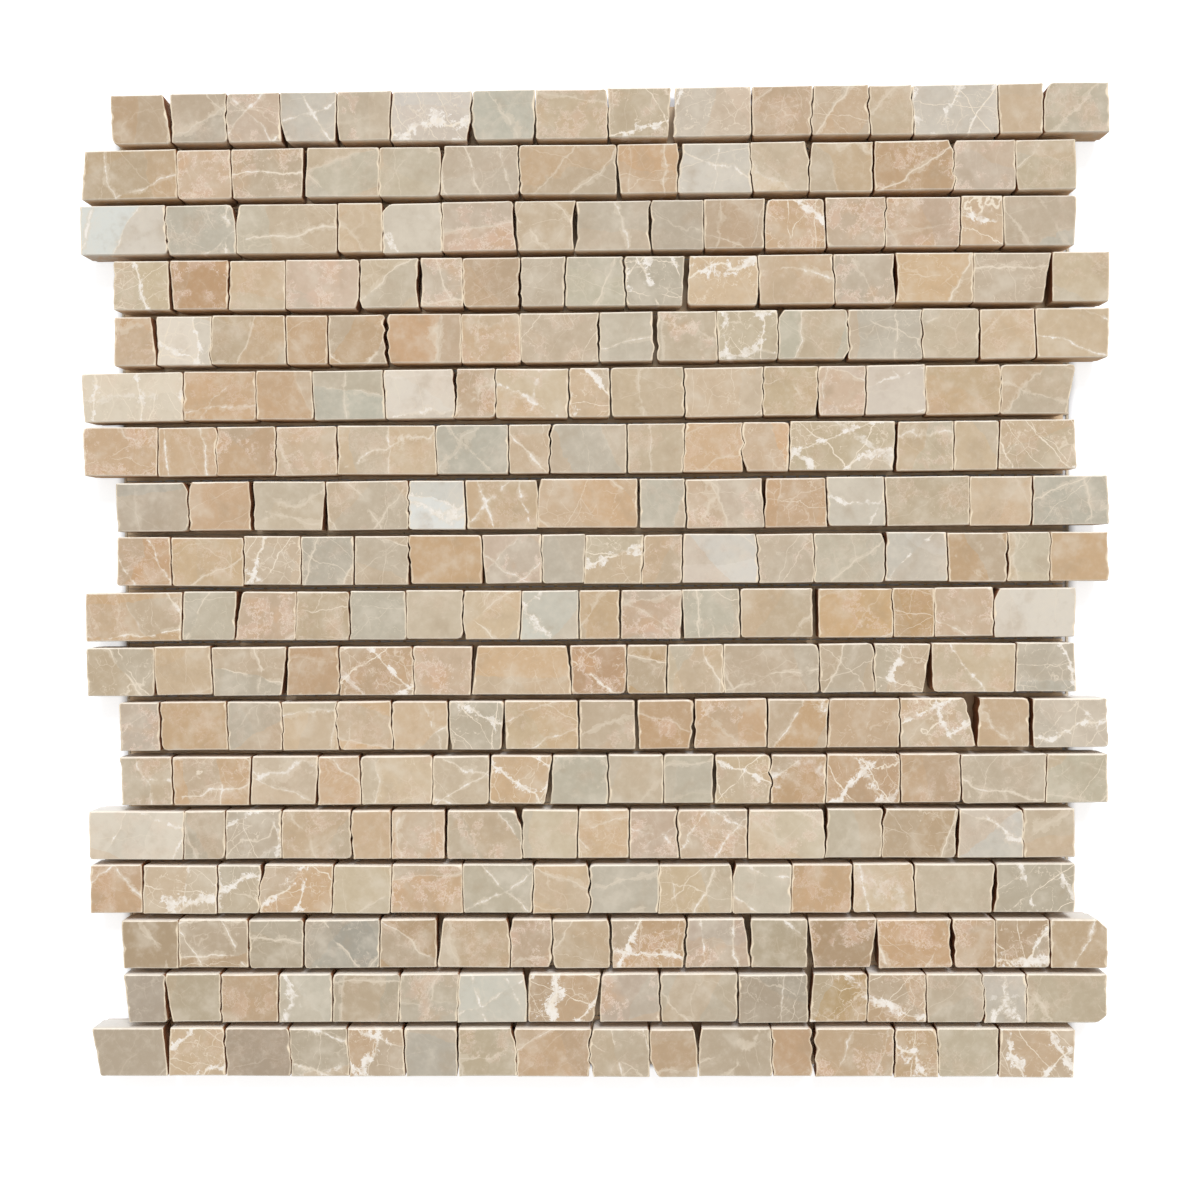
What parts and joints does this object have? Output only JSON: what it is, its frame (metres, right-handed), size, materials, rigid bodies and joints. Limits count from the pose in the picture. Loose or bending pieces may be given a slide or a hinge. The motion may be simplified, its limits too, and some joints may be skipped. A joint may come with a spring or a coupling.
{
  "type": "mosaic tile sheet",
  "caption": "Mesh-backed mosaic sheet of split-end honey stone strips in staggered courses, for wall cladding.",
  "frame": {"origin": "middle of the sheet's outline on the plane it lies on, the underside of its mesh", "axes": "+X along the courses to the right, +Y up the sheet towards course 1, +Z out of the finished face"},
  "size_m": [0.3154, 0.3044, 0.01],
  "materials": {
    "stone": "polished",
    "glass_mesh": "matte"
  },
  "bodies": {
    "root": {"course_01": "stone", "course_02": "stone", "course_03": "stone", "course_04": "stone", "course_05": "stone", "course_06": "stone", "course_07": "stone", "course_08": "stone", "course_09": "stone", "course_10": "stone", "course_11": "stone", "course_12": "stone", "course_13": "stone", "course_14": "stone", "course_15": "stone", "course_16": "stone", "course_17": "stone", "course_18": "stone", "mesh_warp": "glass_mesh", "mesh_weft": "glass_mesh"}
  },
  "joints": []
}
